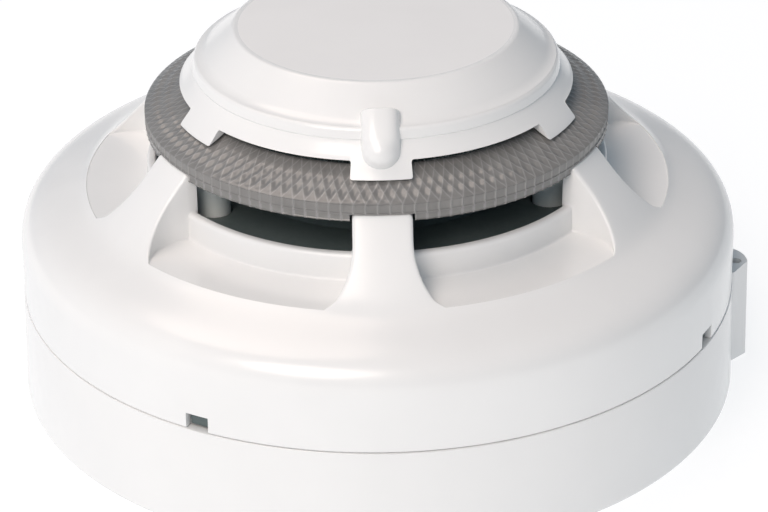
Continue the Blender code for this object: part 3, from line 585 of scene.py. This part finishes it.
def make_cover():
    work = bmesh.new()
    half_pocket(work)
    half = bmesh.ops.duplicate(work, geom=work.verts[:] + work.edges[:] + work.faces[:])["geom"]
    mirror_at = math.radians(RIB_PITCH / 2)
    turn = Matrix.Rotation(mirror_at, 3, "Z")
    flip = turn @ Matrix.Diagonal((-1, 1, 1)) @ turn.inverted()
    other = [g for g in half if isinstance(g, bmesh.types.BMVert)]
    bmesh.ops.transform(work, matrix=flip.to_4x4(), verts=other)
    sector = work.verts[:] + work.edges[:] + work.faces[:]
    for i in range(1, RIBS):
        copy = bmesh.ops.duplicate(work, geom=sector)["geom"]
        verts = [g for g in copy if isinstance(g, bmesh.types.BMVert)]
        spin = Matrix.Rotation(math.radians(i * RIB_PITCH), 4, "Z")
        bmesh.ops.transform(work, matrix=spin, verts=verts)
    bmesh.ops.remove_doubles(work, verts=work.verts, dist=0.000002)

    first = np.searchsorted(SHOULDER[:, 0], PLAN_OUT_R)
    outside = [tuple(p) for p in SHOULDER[first + 3::3]]
    wall = 0.0022
    seam_z = COVER_SEAM_Z - SEAM_CLOSE
    skirt = rounded([(*outside[-1], 0), (COVER_R, seam_z, 0.00016),
                     (COVER_R - wall, seam_z, 0.0003),
                     (COVER_R - wall, 0.0220, 0.0030), (0.0415, 0.0285, 0.0030),
                     (0.0336, 0.0293, 0)])[1:]
    foot = carry_on(work, border_edges(work, PLAN_OUT_R), outside + skirt)
    bore = carry_on(work, border_edges(work, VENT_R_IN), [(VENT_R_IN, 0.0298), (0.0322, 0.0293)])
    bmesh.ops.bridge_loops(work, edges=foot + bore)
    cover = new_piece("outer_cover_shell", work)
    for azimuth in NOTCH_AZ:
        cutter = box_at(azimuth, 0.0480, 0.0540, NOTCH_W, 0.0140, COVER_SEAM_Z + NOTCH_H)
        for vertex in cutter.data.vertices:
            if vertex.co.z > COVER_SEAM_Z and vertex.co.xy.length < 0.0500:
                vertex.co.z -= NOTCH_CHAMFER
            elif vertex.co.z > COVER_SEAM_Z:
                vertex.co.z += NOTCH_CHAMFER * 0.5
        combine(cover, cutter, "DIFFERENCE", 50)
    dress(cover, "white_gloss")
    hand_in(cover, "head", "outer_cover")


# ---------------------------------------------------------------- mounting base
def boss_outline():
    """Plan of the side boss: slanting near flank, sharp corner, rounded far flank."""
    tip = BASE_HIGH.x - 0.0005
    root = 0.0521
    corner_y, far_y = -0.0007, 0.0034
    points = [(0.0500, -0.0044), (root, -0.0044), (root + 0.0002, -0.0043),
              (root + 0.0004, -0.0040), (tip - 0.0003, -0.0012), (tip - 0.0001, -0.0010),
              (tip, corner_y)]
    for i in range(1, 12):
        a = math.radians(90 * i / 12)
        points.append((root + (tip - root) * math.cos(a),
                       corner_y + (far_y - corner_y) * math.sin(a)))
    return points + [(root, far_y), (0.0500, far_y)]


def slot_outline(length, width, x, y):
    half = (length - width) / 2
    points = []
    for side, start in ((1, -90), (-1, 90)):
        for i in range(13):
            a = math.radians(start + i * 15)
            points.append((x + side * half + width / 2 * math.cos(a), y + width / 2 * math.sin(a)))
    return points


def make_base():
    rim_r, foot_r, in_r = 0.0521, 0.05265, 0.0496
    rim_z = BASE_HIGH.z + SEAM_CLOSE
    profile = rounded([(0, 0.0020, 0), (in_r, 0.0020, 0.0006), (in_r, rim_z, 0.0002),
                       (rim_r, rim_z, 0.00016), (foot_r, 0.0, 0.0005), (0, 0.0, 0)])
    base = turned("mounting_base_shell", profile)
    boss = slab("boss", boss_outline(), 0.0, rim_z)
    for vertex in boss.data.vertices:
        if vertex.co.z < 0.001 and vertex.co.x > 0.0525:
            vertex.co += Vector((0.0004, -0.0006, 0.0))
    combine(base, boss, "UNION", 40)
    for azimuth in (30.0, 150.0, 270.0):
        combine(base, box_at(azimuth, 0.0460, 0.0505, 0.0150, 0.0084, 0.0104), "UNION", 40)
    for azimuth in (45.0, 135.0, 225.0, 315.0):
        combine(base, box_at(azimuth, 0.0280, 0.0380, 0.0100, 0.0010, 0.0036), "UNION", 40)
        spot = polar(azimuth, 0.0330, 0)
        combine(base, upright("well", 0.00195, 0.0022, 0.0060, spot[:2]), "DIFFERENCE", 40)
    for x, y, length, width in ((-0.027, 0, 0.010, 0.0045), (0.027, 0, 0.010, 0.0045),
                                (0, 0.020, 0.022, 0.012)):
        cutter = slab("opening", slot_outline(length, width, x, y), -0.001, 0.004)
        combine(base, cutter, "DIFFERENCE", 40)
    combine(base, upright("hole", 0.0008, 0.0060, 0.0170, (0.0531, -0.0007)), "DIFFERENCE", 40)
    dress(base, "white_base")
    hand_in(base, "base", "mounting_base")


# ---------------------------------------------------------------- indicator ring
def crest(phase):
    """Triangle wave: 1 where the phase is a whole number, 0 half way between."""
    return np.abs(2 * (phase - np.floor(phase)) - 1)


def make_ring():
    within = np.array((0, 0.06, 0.14, 0.32, 0.5, 0.68, 0.86, 0.94))
    turn = (np.arange(FACETS)[:, None] + within).ravel()
    azimuths = (turn - FACET_START) * 360 / FACETS
    bar = np.clip(1 - np.minimum(turn % 1, 1 - turn % 1) / 0.10, 0, 1)
    fall = (RING_HIGH.z - RING_EDGE_Z) / (RING_R - RING_IN_R)
    rings = []
    for share in np.linspace(0, 1, 29):
        r = RING_IN_R + 0.0004 + (RING_R - RING_IN_R - 0.0006) * share
        run = PRISM_SHIFT * (RING_R - r) / (RING_R - RING_IN_R)
        lift = PRISM_DEPTH * (crest(turn + run) + crest(turn - run) - 1)
        ends = np.clip((1 - share) * 9, 0, 1) * np.interp(share, *PRISM_FADE)
        z = RING_HIGH.z - (r - RING_IN_R) * fall - PRISM_DEPTH + lift * ends
        rings.append(polar(azimuths, r, z))
    top_z = RING_EDGE_Z - 0.00025
    ledge_z = RING_EDGE_Z - RING_LEDGE
    rings.append(polar(azimuths, RING_R, top_z))
    for z in (top_z - 0.00012, ledge_z + 0.00012):
        rings.append(polar(azimuths, RING_R - PANEL_DEPTH * (1 - bar), z))
    rings.append(polar(azimuths, RING_R, ledge_z))
    rings.append(polar(azimuths, RING_R, ledge_z - 0.00020))
    rings.append(polar(azimuths, RING_R - 0.00018, ledge_z - 0.00030))
    rings.append(polar(azimuths, RING_R - 0.00018, RING_LOW.z + 0.00035))
    rings.append(polar(azimuths, RING_R - 0.00010 + 0.00010 * bar, RING_LOW.z + 0.00022))
    rings.append(polar(azimuths, RING_R - 0.00030 + 0.00012 * bar, RING_LOW.z))
    inner = RING_R - RING_WEB
    web_z = RING_EDGE_Z + fall * RING_WEB - RING_WEB
    for r, z in ((inner, RING_LOW.z), (inner, web_z), (RING_IN_R, RING_HIGH.z - RING_WEB),
                 (RING_IN_R, RING_HIGH.z - 0.0003)):
        rings.append(polar(azimuths, r, z))
    work = bmesh.new()
    skin_rings(work, rings, loop=True)
    ring = new_piece("light_ring_prisms", work, 24)
    for i in range(RIBS):
        seat = box_at(i * RIB_PITCH, 0.0295, 0.0345, 2 * (RIB_HALF_W + GAP), 0.0380,
                      RIB_TOP_Z + 0.0001)
        combine(ring, seat, "DIFFERENCE", 24)
    dress(ring, "smoke_clear")
    hand_in(ring, "head", "light_ring")


# ---------------------------------------------------------------- top cap
def cap_columns():
    """Azimuths round the cap, and how far down the skirt ends at each: 0 in a notch, 1 on a tab."""
    mean_r = 0.0290
    edge = CAP_TAB_HALF_W
    corner = [(edge - 0.00040, 1.0), (edge - 0.00018, 0.985), (edge - 0.00005, 0.93),
              (edge - 0.00002, 0.85), (edge + 0.00002, 0.20), (edge + 0.00007, 0.07),
              (edge + 0.00020, 0.01), (edge + 0.00040, 0.0)]
    half = [(x, 1.0) for x in np.linspace(0, edge - 0.0008, 12)] + corner
    limit = mean_r * math.sin(math.radians(RIB_PITCH / 2))
    half += [(x, 0.0) for x in np.linspace(edge + 0.0010, limit, 16)]
    azimuths, shares = [], []
    for i in range(RIBS):
        for x, share in [(-x, s) for x, s in half[:0:-1]] + half[:-1]:
            azimuths.append(i * RIB_PITCH + math.degrees(math.asin(x / mean_r)))
            shares.append(share)
    return np.array(azimuths), np.array(shares)


def cap_upper_profile():
    """Flat disc, bevel, soft hollow and rounded step, down to the crease above the skirt."""
    crease_r, crease_z = CAP_CREASE
    disc = [(r, CAP_TOP_Z) for r in (0, 0.004, 0.008, 0.012, 0.016, 0.0190)]
    corners = [(0.0195, CAP_TOP_Z, 0), (CAP_TOP_R, CAP_TOP_Z, 0.0003), (*CAP_GROOVE, 0.0009),
               (crease_r - 0.0002, CAP_GROOVE[1] - 0.0002, 0.0006),
               (crease_r + 0.00008, crease_z + 0.0002, 0.00010),
               (crease_r - 0.00005, crease_z + 0.00002, 0)]
    return disc + rounded(corners, 8)


def make_cap():
    azimuths, shares = cap_columns()
    rings = []
    for r, z in cap_upper_profile():
        rings.append(polar(azimuths, r, z) if r > 0 else np.array([[0, 0, z]]))
    crease, tab = np.array(CAP_CREASE), np.array(CAP_TAB)
    reach = CAP_NOTCH_SHARE + (1 - CAP_NOTCH_SHARE) * shares
    for t in (0.04, 0.25, 0.5, 0.75, 0.95):
        span = t * reach
        rings.append(polar(azimuths, crease[0] + (tab - crease)[0] * span,
                           crease[1] + (tab - crease)[1] * span))
    for notch_side, tab_side in CAP_UNDER:
        rings.append(polar(azimuths, notch_side[0] * (1 - shares) + tab_side[0] * shares,
                           notch_side[1] * (1 - shares) + tab_side[1] * shares))
    for r, z in ((0.0255, 0.0474), (0.0237, 0.0487), (0.0196, 0.0525), (0.0187, 0.0525),
                 (0.0187, 0.0468), (0.0173, 0.0468), (0.0173, 0.0525)):
        rings.append(polar(azimuths, r, z))
    rings.append(np.array([[0, 0, 0.0525]]))
    work = bmesh.new()
    skin_rings(work, rings)
    cap = new_piece("top_cap_shell", work, 38)
    combine(cap, cap_nub(), "UNION", 38)
    for azimuth in (0.0, 120.0, 240.0):
        leg = upright("leg", 0.0015, 0.0286, 0.0500, polar(azimuth, 0.0236, 0)[:2])
        combine(cap, leg, "UNION", 38)
    dress(cap, "white_gloss", "white_matte")
    for face in cap.data.polygons:
        centre = face.center
        if math.hypot(centre.x, centre.y) < CAP_TOP_R - 0.0006 and centre.z > CAP_TOP_Z - 0.00005:
            face.material_index = 1
    hand_in(cap, "head", "top_cap")


def cap_nub():
    """Nub with a squarish section lying down the front of the cap, with a ball end."""
    radius, fade = NUB_R, NUB_FADE
    top, low = Vector(NUB_TOP), Vector(NUB_LOW)
    length = (top - low).length
    profile = rounded([(0, length, 0), (radius, length, 0.0003), (radius, fade, 0)])
    profile += [(radius, fade * 0.7), (radius, fade * 0.35)]
    for i in range(12):
        a = math.radians(90 * i / 12)
        profile.append((radius * math.cos(a), -radius * math.sin(a)))
    around = np.radians(np.arange(64) * 360 / 64)
    square = (np.abs(np.cos(around)) ** 3 + np.abs(np.sin(around)) ** 3) ** (-1 / 3)
    rings = [np.array([[0, 0, length]])]
    for r, z in profile[1:]:
        reach = r * (1 + (square - 1) * np.clip(z / fade, 0, 1))
        rings.append(np.stack((reach * np.cos(around), reach * np.sin(around),
                               np.full(len(around), z)), axis=-1))
    rings.append(np.array([[0, 0, -radius]]))
    work = bmesh.new()
    skin_rings(work, rings)
    nub = new_piece("nub", work)
    place = Matrix.Translation(low) @ (top - low).to_track_quat("Z", "Y").to_matrix().to_4x4()
    nub.data.transform(place)
    lean = math.atan2(CAP_TAB[0] - CAP_TOP_R, CAP_TOP_Z - CAP_TAB[1])
    inside = box_at(0, -0.01, 0.01, 0.02, -0.01, 0.01)
    inside.data.transform(Matrix.Rotation(-lean, 4, "X"))
    inward = Vector((0, math.cos(lean), -math.sin(lean))) * 0.0100
    root = Vector((0, -0.0249, 0.0490))
    inside.data.transform(Matrix.Translation(root + inward))
    return combine(nub, inside, "DIFFERENCE")


# ---------------------------------------------------------------- inside the vents
MESH_COLUMNS, MESH_ROWS = 240, 32
MESH_WIRE = 0.00018


def make_screen():
    """Woven mesh: a fine grid of wires."""
    columns, rows = MESH_COLUMNS, MESH_ROWS
    wire = MESH_WIRE
    low, high = SCREEN_LOW.z + 0.0006, SCREEN_HIGH.z - 0.0006
    radius = SCREEN_HIGH.x - wire
    azimuths = np.arange(columns) * 360 / columns
    work = bmesh.new()
    skin_rings(work, [polar(azimuths, radius, z) for z in np.linspace(low, high, rows + 1)])
    screen = new_piece("insect_screen_mesh", work)
    weave = screen.modifiers.new("weave", "WIREFRAME")
    weave.thickness = wire
    weave.use_even_offset = False
    dress(screen, "dark_mesh")
    hand_in(screen, "head", "insect_screen")


def make_light_pipe(index):
    low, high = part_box(f"light_pipe_{index}")
    radius = (high.x - low.x) / 2
    profile = rounded([(0, high.z, 0), (radius, high.z, 0.0005), (radius, low.z, 0.0003),
                       (0, low.z, 0)])
    pipe = turned(f"light_pipe_{index}_rod", profile, 48)
    pipe.data.transform(Matrix.Translation(((low.x + high.x) / 2, (low.y + high.y) / 2, 0)))
    dress(pipe, "clear_guide")
    hand_in(pipe, "head", f"light_pipe_{index}")


# ---------------------------------------------------------------- floor, light and camera
SEAM_Z = 0.0154
AIM = Vector((0.00088, 0, SEAM_Z + 0.0015))
CAMERA_DISTANCE = 0.400
CAMERA_ELEVATION = math.radians(28.19)
CAMERA_ROLL = math.radians(-0.52)
CAMERA_TURN = math.radians(-1.25)
LENS_MM = 126.8

LIGHT_DISTANCE = 0.95
LIGHT_SIZE = 0.60
SKY_LEFT, SKY_RIGHT = 0.48, 0.20     # strength of the sky towards -X and +X
FLOOR_GLOW, FLOOR_GLOW_FAR = 0.79, 0.62
FLOOR_FADE = (0.09, 0.70)        # the floor's glow falls off between these X


def make_camera():
    e = CAMERA_ELEVATION
    forward = Vector((0, math.cos(e), -math.sin(e)))
    right = Vector((1, 0, 0))
    up = right.cross(forward)
    c, s = math.cos(CAMERA_ROLL), math.sin(CAMERA_ROLL)
    x_axis = right * c + up * s
    y_axis = up * c - right * s
    axes = Matrix((x_axis, y_axis, -forward)).transposed().to_4x4()
    place = Matrix.Translation(AIM - forward * CAMERA_DISTANCE) @ axes
    data = bpy.data.cameras.new("camera")
    data.lens = LENS_MM
    data.clip_start = 0.01
    camera = bpy.data.objects.new("camera", data)
    bpy.context.scene.collection.objects.link(camera)
    camera.matrix_world = Matrix.Rotation(CAMERA_TURN, 4, "Z") @ place
    bpy.context.scene.camera = camera


def area_light(name, azimuth, elevation, watts, colour):
    """Round soft light that looks at the object."""
    e = math.radians(elevation)
    place = polar(azimuth, LIGHT_DISTANCE * math.cos(e), LIGHT_DISTANCE * math.sin(e))
    data = bpy.data.lights.new(name, "AREA")
    data.shape = "DISK"
    data.size = LIGHT_SIZE
    data.energy = watts
    data.color = colour
    light = bpy.data.objects.new(name, data)
    bpy.context.scene.collection.objects.link(light)
    light.location = place
    light.rotation_euler = (-Vector(place)).to_track_quat("-Z", "Y").to_euler()


def make_stage():
    work = bmesh.new()
    bmesh.ops.create_grid(work, x_segments=1, y_segments=1, size=3.0)
    floor = new_piece("floor", work)
    floor.location.z = -0.0002
    mat, tree, shader = shader_of("floor_white")
    shader.inputs["Base Color"].default_value = (0.30, 0.30, 0.30, 1)
    shader.inputs["Roughness"].default_value = 0.9
    shader.inputs["Specular IOR Level"].default_value = 0.0
    shader.inputs["Emission Color"].default_value = (0.985, 0.99, 1.0, 1)
    place = linked(tree, "ShaderNodeTexCoord")
    axes = linked(tree, "ShaderNodeSeparateXYZ", Vector=place.outputs["Object"])
    fade = linked(tree, "ShaderNodeMapRange", (("interpolation_type", "SMOOTHSTEP"),),
                  Value=axes.outputs[0])
    for name, value in zip(("From Min", "From Max"), FLOOR_FADE):
        fade.inputs[name].default_value = value
    fade.inputs["To Min"].default_value = FLOOR_GLOW
    fade.inputs["To Max"].default_value = FLOOR_GLOW_FAR
    tree.links.new(fade.outputs["Result"], shader.inputs["Emission Strength"])
    floor.data.materials.append(mat)

    world = bpy.data.worlds.new("studio")
    world.use_nodes = True
    backdrop = world.node_tree.nodes["Background"]
    backdrop.inputs["Color"].default_value = (0.67, 0.84, 1.0, 1)
    sky = world.node_tree
    place = linked(sky, "ShaderNodeTexCoord")
    axes = linked(sky, "ShaderNodeSeparateXYZ", Vector=place.outputs["Generated"])
    side = linked(sky, "ShaderNodeMapRange", Value=axes.outputs[0])
    side.inputs["From Min"].default_value = -1.0
    side.inputs["From Max"].default_value = 1.0
    side.inputs["To Min"].default_value = SKY_LEFT
    side.inputs["To Max"].default_value = SKY_RIGHT
    sky.links.new(side.outputs["Result"], backdrop.inputs["Strength"])
    bpy.context.scene.world = world
    area_light("key", -25, 42, 5.1, (1.0, 0.886, 0.807))
    area_light("top_left", -120, 70, 2.6, (1.0, 0.845, 0.746))
    bpy.context.scene.view_settings.view_transform = "Standard"


# ---------------------------------------------------------------- making
make_camera()
make_stage()
make_cover()
make_base()
make_ring()
make_cap()
make_screen()
make_light_pipe(1)
make_light_pipe(2)
for node, solid in frame["nodes"].items():
    if not solid.hide_render:
        dress(solid, SLOT_OF[node])
